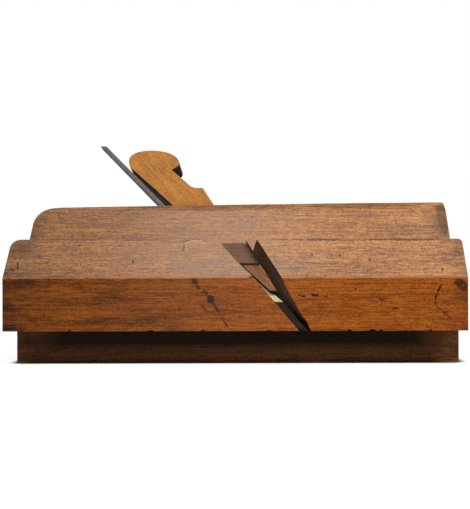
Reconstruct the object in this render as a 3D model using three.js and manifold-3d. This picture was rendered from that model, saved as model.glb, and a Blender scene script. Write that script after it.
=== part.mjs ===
// A sprung side-escapement moulding plane in millimetres, standing on the foot of its fence.
//
// World frame: X runs from heel to toe, Y points away from the right-hand side, Z is up, and the
// origin is the middle of the fence foot. The stock leans back by the spring angle. Everything is
// drawn in the stock's own upright frame, x along the stock and h up its side, with the depth d
// measured from the right-hand side towards the blind side, and one leaning group holds it all.

import * as THREE from "three";
import { mergeVertices } from "three/addons/utils/BufferGeometryUtils.js";
import Module from "manifold-3d";

const wasm = await Module();
wasm.setup();

// ---------------------------------------------------------------- driving dimensions

// The stock
const LENGTH = 241;
const THICKNESS = 60;
const SPRING = THREE.MathUtils.degToRad(30);
const SHOULDER_HEIGHT = 63.6;
const RABBET_DEPTH = 20;
const GRIP_HEIGHT_HEEL = 99.2;
const GRIP_HEIGHT_TOE = 105.4;
const GRIP_HEEL_RADIUS = 12;
const GRIP_TOE_RADIUS = 1.5;
const SHOULDER_HEEL_RADIUS = 5;
const SHOULDER_TOE_RADIUS = 2.5;
const GRIP_EASE_START = 96;
const GRIP_EASE_HEIGHT = 8.2;
const GRIP_EASE_DEPTH = 3.4;
const BLIND_EASE = 2;

// The sprung faces: plumb facet, sole profile and fence, measured from the facet and the bench
const FACET_BOTTOM = 18.5;
const FACET_TOP = 46.1;
const FENCE_SET_BACK = 18.2;
const STOP_WIDTH = 4.0;
const GROOVE_WIDTH = 3.4;
const GROOVE_TOP = 28.5;
const HOLLOW_RADIUS = 8.6;
const HOLLOW_START = 20.8;
const FILLET_STEP = 1.2;
const CURVE_STEPS = 12;

// The bed, the mortise and the throat
const BED_PITCH = THREE.MathUtils.degToRad(46.9);
const FRONT_PITCH = THREE.MathUtils.degToRad(61.2);
const SKEW = 0.07;
const BED_X = 9.7;
const BED_HEIGHT = 39.9;
const FRONT_X = -18.4;
const FRONT_HEIGHT = 105.6;
const MORTISE_NEAR = 27;
const MORTISE_FAR = 39;
const MORTISE_BOTTOM = 28;
const BLADE_FAR = 31;
const CHEEK_DEPTH = 3.5;
const CHEEK_BOTTOM = 50.7;
const RECESS_PITCH = THREE.MathUtils.degToRad(51.9);
const THROAT_BOTTOM = 10;
const FLARE_DEPTH = 19.97;
const BREAKOUT = 1;
const SLOT_CLEARANCE_BOTTOM = 1;
const SLOT_CLEARANCE_TOP = 2.5;
const SLOT_LAP = 2;

// The wear, the throat's front wall, as [x, height] at the right-hand side and at the rabbet's depth
const WEAR_AT_SIDE = [
  [43.9, 10],
  [38.6, 17],
  [35.0, 24.1],
  [29.1, 32.4],
  [24.2, 39.9],
  [10.8, 63.6],
  [8.5, 67.6],
];
const WEAR_INSIDE = [
  [45.0, 10],
  [38.5, 17],
  [31.9, 24.1],
  [24.9, 32.4],
  [20.3, 39.9],
  [6.4, 63.6],
  [5.0, 67.6],
];

// The loose pieces
const FIT = 0.3;
const BLADE_THICKNESS = 3.4;
const ROOT_THICKNESS = 2.5;
const ROOT_HEIGHT = 45;
const TANG_THICKNESS = 2.5;
const TANG_PITCH = THREE.MathUtils.degToRad(47.9);
const TANG_START = 104;
const TANG_TOP = 153.9;
const TANG_SIDE = 1;
const TANG_ROOT_WIDTH = 8.5;
const TANG_WIDTH = 6.2;
const TANG_END_WIDTH = 4;
const TANG_END_INSET = 0.3;
const TANG_END_RADIUS = 1.5;
const BLADE_FOOT = 8;
const BLADE_FOOT_UP = 4;
const SHOULDER_GAP = 0.5;
const SHOULDER_FALL = 2.7;
const SHOULDER_RADIUS = 3;
const KNEE_UP = 33.5;
const EDGE_INSET = 0.7;
const EDGE_PROJECTION = 0.4;
const BEVEL_CLEARANCE = THREE.MathUtils.degToRad(20);
const WEDGE_TIP = 35.2;
const PACKING_NEAR = 4.6;
const PACKING_TOP = 50.4;
const PACKING_TIP = 34.6;
const PACKING_PROUD = 0.5;
const SLIP_FOOT = 19.3;
const SLIP_HEEL_END = 34;
const SLIP_TOE_END = 20;

// The wedge above the grip, as [x, height] on its near face: the straight taper meets the grip at
// the first point, and the underside leaves the iron at the last
const WEDGE_FRONT_BREAK = [-15.2, 102.6];
const NECK_CORNER = [-24.7, 119.0];
const NECK_HOLLOW_CONTROL = [-30.6, 118.2];
const NECK_TOP = [-33.2, 121.2];
const NOTCH_CORNER = [-44.8, 133.1];
const NOTCH_CONTROL = [-42.6, 134.2];
const NOTCH_LIP = [-40.6, 136.8];
const LIP_CONTROL = [-40.4, 142.6];
const CROWN_FRONT_CONTROL = [-45.5, 147.0];
const CROWN = [-54.0, 148.4];
const CROWN_BACK_CONTROL = [-60.5, 149.5];
const BROW_CONTROL = [-72.6, 148.9];
const BROW = [-72.8, 141.2];
const CHIN_CONTROL = [-72.6, 136.6];
const CHIN = [-70.1, 133.9];
const WEDGE_FACE = [-43.2, 106.8];

// How far a cut runs past what it cuts
const OVERRUN = 4;

// Worked out from the above
const SIN_SPRING = Math.sin(SPRING);
const COS_SPRING = Math.cos(SPRING);
const FACET_TOP_DEPTH = SIN_SPRING * FACET_TOP;
const FOOT_BACK = (THICKNESS - FACET_TOP_DEPTH) / COS_SPRING;
const FOOT_MIDDLE = (FENCE_SET_BACK + FOOT_BACK) / 2;
const HEEL = -LENGTH / 2;
const TOE = LENGTH / 2;

// ---------------------------------------------------------------- frames

// A point of the sprung faces, `back` behind the facet and `up` above the bench, as [depth, height].
function sprung(back, up) {
  const depth = COS_SPRING * back - SIN_SPRING * up + FACET_TOP_DEPTH;
  const height = SIN_SPRING * back + COS_SPRING * up;
  return [depth, height];
}

// Where the bed meets the plane of the right-hand side, at a height.
function bedX(height) {
  return BED_X - (height - BED_HEIGHT) / Math.tan(BED_PITCH);
}

// Where the mortise's front wall would meet the plane of the right-hand side, at a height.
function frontX(height) {
  return FRONT_X - (height - FRONT_HEIGHT) / Math.tan(FRONT_PITCH);
}

// Where the upper face of the iron lies, at a height: the blade thins from its knee to its root.
function ironFaceX(height) {
  const [, kneeHeight] = sprung(EDGE_INSET, KNEE_UP);
  const rise = THREE.MathUtils.clamp((height - kneeHeight) / (ROOT_HEIGHT - kneeHeight), 0, 1);
  const thickness = THREE.MathUtils.lerp(BLADE_THICKNESS, ROOT_THICKNESS, rise);
  return bedX(height) + thickness / Math.sin(BED_PITCH);
}

// ---------------------------------------------------------------- solids

// A closed geometry as a manifold-3d solid.
function solidOf(geometry) {
  const bare = geometry.clone();
  bare.deleteAttribute("normal");
  bare.deleteAttribute("uv");
  const merged = mergeVertices(bare, 1e-4);
  const mesh = new wasm.Mesh({
    numProp: 3,
    vertProperties: new Float32Array(merged.attributes.position.array),
    triVerts: new Uint32Array(merged.index.array),
  });
  return new wasm.Manifold(mesh);
}

// A manifold-3d solid as a geometry with flat faces.
function geometryOf(solid) {
  const mesh = solid.getMesh();
  const positions = new Float32Array(mesh.numVert * 3);
  for (let i = 0; i < mesh.numVert; i += 1) {
    const start = i * mesh.numProp;
    positions.set(mesh.vertProperties.subarray(start, start + 3), i * 3);
  }
  const indexed = new THREE.BufferGeometry();
  indexed.setAttribute("position", new THREE.BufferAttribute(positions, 3));
  indexed.setIndex(new THREE.BufferAttribute(new Uint32Array(mesh.triVerts), 1));
  const flat = indexed.toNonIndexed();
  flat.computeVertexNormals();
  return flat;
}

// A cross-section in [depth, height], run along the stock from one x to another.
function alongStock(section, from, to) {
  const options = { depth: to - from, bevelEnabled: false, curveSegments: 16 };
  const geometry = new THREE.ExtrudeGeometry(section, options);
  const depthAxis = new THREE.Vector3(0, 0, -1);
  const heightAxis = new THREE.Vector3(0, 1, 0);
  const lengthAxis = new THREE.Vector3(1, 0, 0);
  geometry.applyMatrix4(new THREE.Matrix4().makeBasis(depthAxis, heightAxis, lengthAxis));
  geometry.translate(from, 0, 0);
  return solidOf(geometry);
}

// A side elevation in [x, height], run through the stock from one depth to another. Its x moves
// by `skew` for each millimetre of depth.
function throughStock(elevation, near, far, skew = 0) {
  const options = { depth: far - near, bevelEnabled: false, curveSegments: 10 };
  const geometry = new THREE.ExtrudeGeometry(elevation, options);
  geometry.translate(0, 0, -far);
  const shear = new THREE.Matrix4().set(1, 0, -skew, 0, 0, 1, 0, 0, 0, 0, 1, 0, 0, 0, 0, 1);
  geometry.applyMatrix4(shear);
  return solidOf(geometry);
}

// A solid between two outlines in [x, height] with the same number of points, one at each depth.
function loft(nearOutline, farOutline, near, far) {
  const count = nearOutline.length;
  const positions = [];
  nearOutline.forEach(([x, h]) => positions.push(x, h, -near));
  farOutline.forEach(([x, h]) => positions.push(x, h, -far));
  const flatPoints = nearOutline.map(([x, h]) => new THREE.Vector2(x, h));
  const caps = THREE.ShapeUtils.triangulateShape(flatPoints, []);
  const indices = [];
  caps.forEach(([a, b, c]) => {
    indices.push(a, b, c);
    indices.push(c + count, b + count, a + count);
  });
  for (let i = 0; i < count; i += 1) {
    const j = (i + 1) % count;
    indices.push(i, i + count, j);
    indices.push(j, i + count, j + count);
  }
  const geometry = new THREE.BufferGeometry();
  geometry.setAttribute("position", new THREE.Float32BufferAttribute(positions, 3));
  geometry.setIndex(indices);
  return solidOf(geometry);
}

function shapeOf(points) {
  return new THREE.Shape(points.map(([a, b]) => new THREE.Vector2(a, b)));
}

// ---------------------------------------------------------------- stock

// The section right across: plumb facet, sole profile, fence, blind side, grip and shoulder.
function stockSection() {
  const grooveBack = STOP_WIDTH + GROOVE_WIDTH;
  const hollowBack = grooveBack + HOLLOW_RADIUS;
  const hollowTop = HOLLOW_START + HOLLOW_RADIUS;
  const points = [
    sprung(0, FACET_BOTTOM),
    sprung(STOP_WIDTH, FACET_BOTTOM),
    sprung(STOP_WIDTH, GROOVE_TOP),
    sprung(grooveBack, GROOVE_TOP),
    sprung(grooveBack, HOLLOW_START),
  ];
  for (let i = 1; i <= CURVE_STEPS; i += 1) {
    const turn = (Math.PI / 2) * (i / CURVE_STEPS);
    const back = hollowBack - HOLLOW_RADIUS * Math.cos(turn);
    const up = HOLLOW_START + HOLLOW_RADIUS * Math.sin(turn);
    points.push(sprung(back, up));
  }
  points.push(
    sprung(hollowBack, hollowTop + FILLET_STEP),
    sprung(FENCE_SET_BACK, hollowTop + FILLET_STEP),
    sprung(FENCE_SET_BACK, 0),
    sprung(FOOT_BACK, 0),
    [THICKNESS, GRIP_HEIGHT_TOE + OVERRUN],
    [RABBET_DEPTH, GRIP_HEIGHT_TOE + OVERRUN],
    [RABBET_DEPTH, SHOULDER_HEIGHT],
    [0, SHOULDER_HEIGHT],
    sprung(0, FACET_TOP),
  );
  return shapeOf(points);
}

// What is planed off the top of the grip, which falls a little towards the heel, with its blind
// arris taken off.
function gripTopCut() {
  const middle = (GRIP_HEIGHT_HEEL + GRIP_HEIGHT_TOE) / 2;
  const fall = (GRIP_HEIGHT_TOE - GRIP_HEIGHT_HEEL) / LENGTH;
  const above = GRIP_HEIGHT_TOE + 3 * OVERRUN;
  const section = shapeOf([
    [RABBET_DEPTH - OVERRUN, middle],
    [THICKNESS - BLIND_EASE, middle],
    [THICKNESS, middle - BLIND_EASE],
    [THICKNESS + OVERRUN, middle - BLIND_EASE],
    [THICKNESS + OVERRUN, above],
    [RABBET_DEPTH - OVERRUN, above],
  ]);
  const cut = alongStock(section, HEEL - OVERRUN, TOE + OVERRUN);
  const tilt = new THREE.Matrix4().set(1, 0, 0, 0, fall, 1, 0, 0, 0, 0, 1, 0, 0, 0, 0, 1);
  return cut.transform(tilt.elements);
}

// The soft bevel along the grip's right-hand arris. It starts level, so it is widest at the toe
// and fades towards the heel.
function gripEaseCut() {
  const end = GRIP_EASE_START + GRIP_EASE_HEIGHT;
  const section = new THREE.Shape();
  section.moveTo(RABBET_DEPTH - OVERRUN, GRIP_EASE_START);
  section.lineTo(RABBET_DEPTH, GRIP_EASE_START);
  section.quadraticCurveTo(
    RABBET_DEPTH + GRIP_EASE_DEPTH / 3,
    end - GRIP_EASE_HEIGHT / 3,
    RABBET_DEPTH + GRIP_EASE_DEPTH,
    end,
  );
  section.lineTo(RABBET_DEPTH + GRIP_EASE_DEPTH + OVERRUN, end + OVERRUN);
  section.lineTo(RABBET_DEPTH - OVERRUN, end + OVERRUN);
  return alongStock(section, HEEL - OVERRUN, TOE + OVERRUN);
}

// What rounds off a top corner at one end of the stock, over a range of depths.
function cornerCut(end, top, radius, near, far) {
  const inward = end < 0 ? 1 : -1;
  const corner = new THREE.Shape();
  const centreX = end + inward * radius;
  const centreH = top - radius;
  corner.moveTo(end - inward * OVERRUN, centreH);
  corner.lineTo(end - inward * OVERRUN, top + OVERRUN);
  corner.lineTo(centreX, top + OVERRUN);
  corner.lineTo(centreX, top);
  const endAngle = end < 0 ? Math.PI : 0;
  corner.absarc(centreX, centreH, radius, Math.PI / 2, endAngle, end > 0);
  return throughStock(corner, near, far);
}

// The mortise through the grip for the tang and the wedge.
function mortiseCut() {
  const top = GRIP_HEIGHT_TOE + 2 * OVERRUN;
  const elevation = shapeOf([
    [bedX(MORTISE_BOTTOM), MORTISE_BOTTOM],
    [frontX(MORTISE_BOTTOM), MORTISE_BOTTOM],
    [frontX(top), top],
    [bedX(top), top],
  ]);
  return throughStock(elevation, MORTISE_NEAR, MORTISE_FAR, SKEW);
}

// The shallow step in the right-hand side above the throat, back to the face of the cheek.
function cheekRecess() {
  const top = SHOULDER_HEIGHT + OVERRUN;
  const elevation = shapeOf([
    [bedX(CHEEK_BOTTOM), CHEEK_BOTTOM],
    [frontX(CHEEK_BOTTOM), CHEEK_BOTTOM],
    [frontX(top), top],
    [bedX(CHEEK_BOTTOM) - (top - CHEEK_BOTTOM) / Math.tan(RECESS_PITCH), top],
  ]);
  return throughStock(elevation, -BREAKOUT, CHEEK_DEPTH, SKEW);
}

// The throat narrows inwards, from a wide flare at the right-hand side to a hair short of the
// rabbet's depth, so that it leaves the grip's face whole, and goes on to the far edge of the
// blade as a narrow slot above the mouth.
function throatCuts() {
  const under = THROAT_BOTTOM;
  const over = SHOULDER_HEIGHT + OVERRUN;
  const outline = (shift, wear) => [
    [bedX(under) + shift, under],
    ...wear,
    [frontX(over) + shift, over],
    [frontX(CHEEK_BOTTOM) + shift, CHEEK_BOTTOM],
    [bedX(CHEEK_BOTTOM) + shift, CHEEK_BOTTOM],
  ];
  const flare = loft(
    outline(0, WEAR_AT_SIDE),
    outline(SKEW * FLARE_DEPTH, WEAR_INSIDE),
    -BREAKOUT / 2,
    FLARE_DEPTH,
  );
  const slot = (shift) => [
    [bedX(under) + shift, under],
    [ironFaceX(under) + SLOT_CLEARANCE_BOTTOM + shift, under],
    [ironFaceX(CHEEK_BOTTOM) + SLOT_CLEARANCE_TOP + shift, CHEEK_BOTTOM],
    [bedX(CHEEK_BOTTOM) + shift, CHEEK_BOTTOM],
  ];
  const near = RABBET_DEPTH - SLOT_LAP;
  const far = BLADE_FAR + FIT;
  const inner = loft(slot(SKEW * near), slot(SKEW * far), near, far);
  return [flare, inner];
}

function stock() {
  let solid = alongStock(stockSection(), HEEL, TOE);
  const cuts = [
    gripTopCut(),
    gripEaseCut(),
    cornerCut(HEEL, GRIP_HEIGHT_HEEL, GRIP_HEEL_RADIUS, RABBET_DEPTH, THICKNESS + OVERRUN),
    cornerCut(TOE, GRIP_HEIGHT_TOE, GRIP_TOE_RADIUS, RABBET_DEPTH, THICKNESS + OVERRUN),
    cornerCut(HEEL, SHOULDER_HEIGHT, SHOULDER_HEEL_RADIUS, -OVERRUN, RABBET_DEPTH),
    cornerCut(TOE, SHOULDER_HEIGHT, SHOULDER_TOE_RADIUS, -OVERRUN, RABBET_DEPTH),
    mortiseCut(),
    cheekRecess(),
    ...throatCuts(),
  ];
  cuts.forEach((cut) => {
    solid = solid.subtract(cut);
  });
  return solid;
}

// ---------------------------------------------------------------- iron, wedge and packing

// The forged iron from the side: it lies on the bed, thins from the knee to the root of the tang
// and again to the tang's end, which stands a little steeper than the bed above the grip.
function ironElevation() {
  const foot = BLADE_FOOT;
  const [, kneeHeight] = sprung(EDGE_INSET, KNEE_UP);
  const lift = FIT / Math.sin(BED_PITCH);
  const startX = bedX(TANG_START) + lift;
  const endX = startX - (TANG_TOP - TANG_START) / Math.tan(TANG_PITCH);
  return shapeOf([
    [bedX(foot) + lift, foot],
    [ironFaceX(foot), foot],
    [ironFaceX(kneeHeight), kneeHeight],
    [ironFaceX(ROOT_HEIGHT), ROOT_HEIGHT],
    [ironFaceX(TANG_START), TANG_START],
    [endX + TANG_THICKNESS / Math.sin(TANG_PITCH), TANG_TOP],
    [endX, TANG_TOP],
    [startX, TANG_START],
  ]);
}

// The iron from the front: the near edge of the blade follows the plumb facet up to a knee, then
// runs straight up the bed to a shoulder under the cheek, and the tang tapers to a blunt end.
function ironFront() {
  const [footDepth, footHeight] = sprung(EDGE_INSET, BLADE_FOOT_UP);
  const [kneeDepth, kneeHeight] = sprung(EDGE_INSET, KNEE_UP);
  const near = MORTISE_NEAR + TANG_SIDE;
  const nearEnd = near + TANG_END_INSET;
  const farEnd = near + TANG_END_WIDTH;
  const shoulderTop = CHEEK_BOTTOM - SHOULDER_GAP;
  const outline = new THREE.Shape();
  outline.moveTo(footDepth, footHeight);
  outline.lineTo(BLADE_FAR, footHeight);
  outline.lineTo(BLADE_FAR, shoulderTop - SHOULDER_FALL);
  outline.lineTo(near + TANG_ROOT_WIDTH, shoulderTop);
  outline.lineTo(near + TANG_WIDTH, TANG_START);
  outline.lineTo(farEnd, TANG_TOP - TANG_END_RADIUS);
  outline.quadraticCurveTo(farEnd, TANG_TOP, (nearEnd + farEnd) / 2, TANG_TOP);
  outline.quadraticCurveTo(nearEnd, TANG_TOP, nearEnd, TANG_TOP - TANG_END_RADIUS);
  outline.lineTo(near, TANG_START);
  outline.lineTo(near, shoulderTop);
  outline.lineTo(kneeDepth + SHOULDER_RADIUS, shoulderTop);
  outline.quadraticCurveTo(kneeDepth, shoulderTop, kneeDepth, shoulderTop - SHOULDER_RADIUS);
  outline.lineTo(kneeDepth, kneeHeight);
  return outline;
}

// What is ground off the foot of the blade: the reverse of the sole profile, sloping up behind
// the cutting edge, which lies on the upper face of the iron.
function bevelCut() {
  const grooveBack = STOP_WIDTH + GROOVE_WIDTH;
  const hollowBack = grooveBack + HOLLOW_RADIUS;
  const front = -3 * OVERRUN;
  const back = FENCE_SET_BACK + 4 * OVERRUN;
  const low = (up) => up - EDGE_PROJECTION;
  const points = [
    sprung(front, 0),
    sprung(front, low(FACET_BOTTOM)),
    sprung(STOP_WIDTH, low(FACET_BOTTOM)),
    sprung(STOP_WIDTH, low(SLIP_FOOT)),
    sprung(grooveBack, low(SLIP_FOOT)),
  ];
  for (let i = 0; i <= CURVE_STEPS; i += 1) {
    const turn = (Math.PI / 2) * (i / CURVE_STEPS);
    const back = hollowBack - HOLLOW_RADIUS * Math.cos(turn);
    const up = HOLLOW_START + HOLLOW_RADIUS * Math.sin(turn);
    points.push(sprung(back, low(up)));
  }
  const soleTop = HOLLOW_START + HOLLOW_RADIUS + FILLET_STEP;
  points.push(
    sprung(hollowBack, low(soleTop)),
    sprung(FENCE_SET_BACK, low(soleTop)),
    sprung(back, low(soleTop) - OVERRUN),
    sprung(back, 0),
  );
  const prism = alongStock(shapeOf(points), HEEL, TOE);
  // Slide every point along the stock's length towards the cutting edge's own ruling line, so
  // that the sole's direction turns into the clearance angle and the iron's face stays put.
  const cot = 1 / Math.tan(BED_PITCH);
  const tan = Math.tan(BEVEL_CLEARANCE);
  const faceX = ironFaceX(0);
  const shear = new THREE.Matrix4().set(
    1, 0, 0, 0,
    -tan, 1 - tan * cot, -tan * SKEW, tan * faceX,
    0, 0, 1, 0,
    0, 0, 0, 1,
  );
  return prism.transform(shear.elements);
}

function iron() {
  const side = throughStock(ironElevation(), -BREAKOUT, THICKNESS, SKEW);
  const front = alongStock(ironFront(), HEEL, TOE);
  return side.intersect(front).subtract(bevelCut());
}

// The wedge from the side: a long taper between the iron and the front wall of the mortise, a
// rounded finial leaning over the iron, and the notch under the finial that a mallet strikes.
function wedgeElevation() {
  const near = MORTISE_NEAR + FIT;
  const gap = FIT / Math.sin(BED_PITCH);
  const at = ([x, height]) => [x - SKEW * near, height];
  const outline = new THREE.Shape();
  outline.moveTo(ironFaceX(WEDGE_TIP) + gap, WEDGE_TIP);
  outline.lineTo(frontX(WEDGE_TIP) - FIT, WEDGE_TIP);
  outline.lineTo(...at(WEDGE_FRONT_BREAK));
  outline.lineTo(...at(NECK_CORNER));
  outline.quadraticCurveTo(...at(NECK_HOLLOW_CONTROL), ...at(NECK_TOP));
  outline.lineTo(...at(NOTCH_CORNER));
  outline.quadraticCurveTo(...at(NOTCH_CONTROL), ...at(NOTCH_LIP));
  outline.bezierCurveTo(...at(LIP_CONTROL), ...at(CROWN_FRONT_CONTROL), ...at(CROWN));
  outline.bezierCurveTo(...at(CROWN_BACK_CONTROL), ...at(BROW_CONTROL), ...at(BROW));
  outline.quadraticCurveTo(...at(CHIN_CONTROL), ...at(CHIN));
  outline.lineTo(...at(WEDGE_FACE));
  return outline;
}

function wedge() {
  return throughStock(wedgeElevation(), MORTISE_NEAR + FIT, MORTISE_FAR - FIT, SKEW);
}

// The packing under the cheek that bears on the near side of the wide blade.
function packing() {
  const gap = FIT / Math.sin(BED_PITCH);
  const elevation = shapeOf([
    [ironFaceX(PACKING_TIP) + gap, PACKING_TIP],
    [frontX(PACKING_TIP) + PACKING_PROUD, PACKING_TIP],
    [frontX(PACKING_TOP) + PACKING_PROUD, PACKING_TOP],
    [ironFaceX(PACKING_TOP) + gap, PACKING_TOP],
  ]);
  return throughStock(elevation, PACKING_NEAR, FLARE_DEPTH, SKEW);
}

// ---------------------------------------------------------------- boxing

// The boxwood slips let into the sole to keep the quirk sharp, one on each side of the mouth.
function boxing(from, to) {
  const grooveBack = STOP_WIDTH + GROOVE_WIDTH;
  const section = shapeOf([
    sprung(STOP_WIDTH + FIT, SLIP_FOOT),
    sprung(grooveBack - FIT, SLIP_FOOT),
    sprung(grooveBack - FIT, GROOVE_TOP - FIT),
    sprung(STOP_WIDTH + FIT, GROOVE_TOP - FIT),
  ]);
  let solid = alongStock(section, from, to);
  throatCuts().forEach((cut) => {
    solid = solid.subtract(cut);
  });
  const lengths = solid.decompose();
  lengths.sort((a, b) => b.volume() - a.volume());
  return lengths[0];
}

// ---------------------------------------------------------------- scene graph

const finishes = {
  beech: new THREE.MeshStandardMaterial({ color: 0x8f5a30, roughness: 0.45, metalness: 0 }),
  paleBeech: new THREE.MeshStandardMaterial({ color: 0xb5793f, roughness: 0.5, metalness: 0 }),
  iron: new THREE.MeshStandardMaterial({ color: 0x56534f, roughness: 0.45, metalness: 0.9 }),
  boxwood: new THREE.MeshStandardMaterial({ color: 0xc9a35c, roughness: 0.5, metalness: 0 }),
};

const leaning = new THREE.Group();
leaning.rotation.x = Math.PI / 2 - SPRING;
leaning.position.set(
  0,
  -COS_SPRING * FACET_TOP_DEPTH - FOOT_MIDDLE,
  SIN_SPRING * FACET_TOP_DEPTH,
);

function addPiece(name, solid, finish) {
  const mesh = new THREE.Mesh(geometryOf(solid), finish);
  mesh.name = name;
  leaning.add(mesh);
}

addPiece("stock", stock(), finishes.beech);
addPiece("iron", iron(), finishes.iron);
addPiece("wedge", wedge(), finishes.paleBeech);
addPiece("iron_packing", packing(), finishes.paleBeech);
addPiece("boxing_heel", boxing(HEEL + FIT, SLIP_HEEL_END), finishes.boxwood);
addPiece("boxing_toe", boxing(SLIP_TOE_END, TOE - FIT), finishes.boxwood);

const group = new THREE.Group();
group.add(leaning);

export default group;
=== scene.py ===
"""A sprung side-escapement moulding plane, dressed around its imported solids.

The plane stands on the foot of its fence with the stock leaning back by the spring angle. Marks,
grain and wear are laid out in the stock's own upright frame in millimetres: x along the stock from
heel to toe, depth in from its right-hand side, height up that side.
"""

from __future__ import annotations

import logging
import math
from abc import ABC, abstractmethod
from collections.abc import Sequence
from dataclasses import dataclass
from enum import Enum
from functools import cached_property
from typing import Any

import bmesh
import bpy
from mathutils import Matrix, Vector, noise


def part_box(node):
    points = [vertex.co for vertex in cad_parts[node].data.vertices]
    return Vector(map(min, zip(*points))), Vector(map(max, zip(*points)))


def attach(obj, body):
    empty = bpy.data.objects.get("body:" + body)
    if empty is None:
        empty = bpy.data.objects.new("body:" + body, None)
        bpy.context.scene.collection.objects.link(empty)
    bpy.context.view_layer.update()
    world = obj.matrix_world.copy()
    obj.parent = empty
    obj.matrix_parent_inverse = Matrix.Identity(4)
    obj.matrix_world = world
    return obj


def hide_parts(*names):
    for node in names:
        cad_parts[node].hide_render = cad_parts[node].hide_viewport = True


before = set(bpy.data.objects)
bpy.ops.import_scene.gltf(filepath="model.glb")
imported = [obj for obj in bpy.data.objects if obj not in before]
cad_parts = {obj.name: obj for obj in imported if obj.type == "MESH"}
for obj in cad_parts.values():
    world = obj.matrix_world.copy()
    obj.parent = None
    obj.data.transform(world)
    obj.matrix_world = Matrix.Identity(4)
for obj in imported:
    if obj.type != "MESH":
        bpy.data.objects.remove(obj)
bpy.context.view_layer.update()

LOG = logging.getLogger("moulding_plane")
MM = 0.001
CUT_SNAP = 0.0005 * MM

# A node's input takes a value, a hex colour, a socket or a node
NodeInput = Any
Sockets = Any


# ------------------------------------------------------------------------------ the stock's frame


@dataclass(frozen=True)
class LeaningFrame:
    """The stock's upright frame and how it stands in the world.

    `spring` is the lean in radians. The facet's heights and the fence's set-back are millimetres in
    the world, and the rest are millimetres in the upright frame.
    """

    spring: float = math.radians(30)
    facet_top: float = 46.1
    facet_bottom: float = 18.5
    fence_set_back: float = 18.2
    half_length: float = 120.5
    shoulder_height: float = 63.6
    rabbet_depth: float = 20.0
    thickness: float = 60.0
    grip_heel: float = 99.2
    grip_toe: float = 105.4
    throat_bottom: float = 22.0
    knee_height: float = 29.4
    blade_top: float = 51.0

    @property
    def outward(self) -> Vector:
        """The direction that the right-hand side faces, in the world."""
        return Vector((0, -math.cos(self.spring), math.sin(self.spring)))

    @property
    def facet_y(self) -> float:
        """World y of the plumb facet, which is the foremost face of the stock."""
        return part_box("stock")[0][1] / MM

    @property
    def origin_depth(self) -> float:
        """Depth of the facet's top line below the right-hand side, which the frame turns about."""
        return self.facet_top * math.sin(self.spring)

    def matrix(self) -> Matrix:
        """The turn and shift from the upright frame (x, depth - origin_depth, height) to the world.

        Returns:
            The matrix, from millimetres to metres.
        """
        turn = Matrix.Rotation(-self.spring, 4, "X")
        shift = Matrix.Translation((0, self.facet_y * MM, 0))
        return shift @ turn @ Matrix.Scale(MM, 4)

    def to_upright(self, point: Vector) -> Vector:
        """A world point in metres as (x, depth, height) in millimetres."""
        local = self.matrix().inverted() @ point
        return Vector((local.x, local.y + self.origin_depth, local.z))

    def facet(self, x: float, up: float) -> Vector:
        """A point of the plumb facet, `up` above the bench, as (x, depth, height)."""
        depth = self.origin_depth - math.sin(self.spring) * up
        return Vector((x, depth, math.cos(self.spring) * up))

    def sprung(self, back: float, up: float) -> Vector:
        """A point of the section by its distances from the facet and the bench.

        Args:
            back: How far it is behind the facet.
            up: How far it is above the bench.

        Returns:
            The point as (0, depth, height).
        """
        turned = self.facet(0, up)
        shift = Vector((0, math.cos(self.spring) * back, math.sin(self.spring) * back))
        return turned + shift


LEAN = LeaningFrame()


class Face(Enum):
    """The faces of the stock that carry marks."""

    FACET = "facet"
    SHOULDER = "shoulder"
    GRIP = "grip"

    def at(self, x: float, up: float) -> Vector:
        """A point on this face as (x, depth, height) in millimetres.

        Args:
            x: How far along the stock.
            up: Height above the bench on the facet, or height up the leaning side on the others.

        Returns:
            The point in the stock's upright frame.
        """
        if self is Face.FACET:
            return LEAN.facet(x, up)
        if self is Face.SHOULDER:
            return Vector((x, 0, up))
        return Vector((x, LEAN.rabbet_depth, up))


# ------------------------------------------------------------------------------ colours and nodes


def linear(code: str) -> tuple[float, float, float, float]:
    """Turns an sRGB hex colour to the linear values that a shader takes.

    Args:
        code: Six hex digits after a hash.

    Returns:
        Red, green, blue and an alpha of 1.
    """
    channels = []
    for start in (1, 3, 5):
        value = int(code[start : start + 2], 16) / 255
        channels.append(value / 12.92 if value <= 0.04045 else ((value + 0.055) / 1.055) ** 2.4)
    return (*channels, 1.0)


@dataclass(frozen=True)
class Fade:
    """An even change of an amount: `before` as far as `start`, `after` from `end` on."""

    start: float
    end: float
    before: float = 0.0
    after: float = 1.0

    def of(self, value: NodeInput) -> dict[str, NodeInput]:
        """The inputs of a Map Range node that makes this change of a value."""
        ends = {"From Min": self.start, "From Max": self.end, "To Min": self.before, "To Max": self.after}
        return {"Value": value, **ends}


def between(value: NodeInput, low: float, high: float, soft: float) -> list[tuple[Fade, NodeInput]]:
    """The fades that leave 1 where a value lies between two limits, and 0 beyond a soft edge.

    Args:
        value: What is tested.
        low: The lower limit.
        high: The upper limit.
        soft: The width of each edge, outside its limit.

    Returns:
        Pairs of a fade and the value.
    """
    return [(Fade(low - soft, low), value), (Fade(high, high + soft, 1.0, 0.0), value)]


@dataclass(frozen=True)
class Patches:
    """A random pattern in patches of this length and width in millimetres."""

    length: float
    width: float
    detail: float = 2.0


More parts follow.
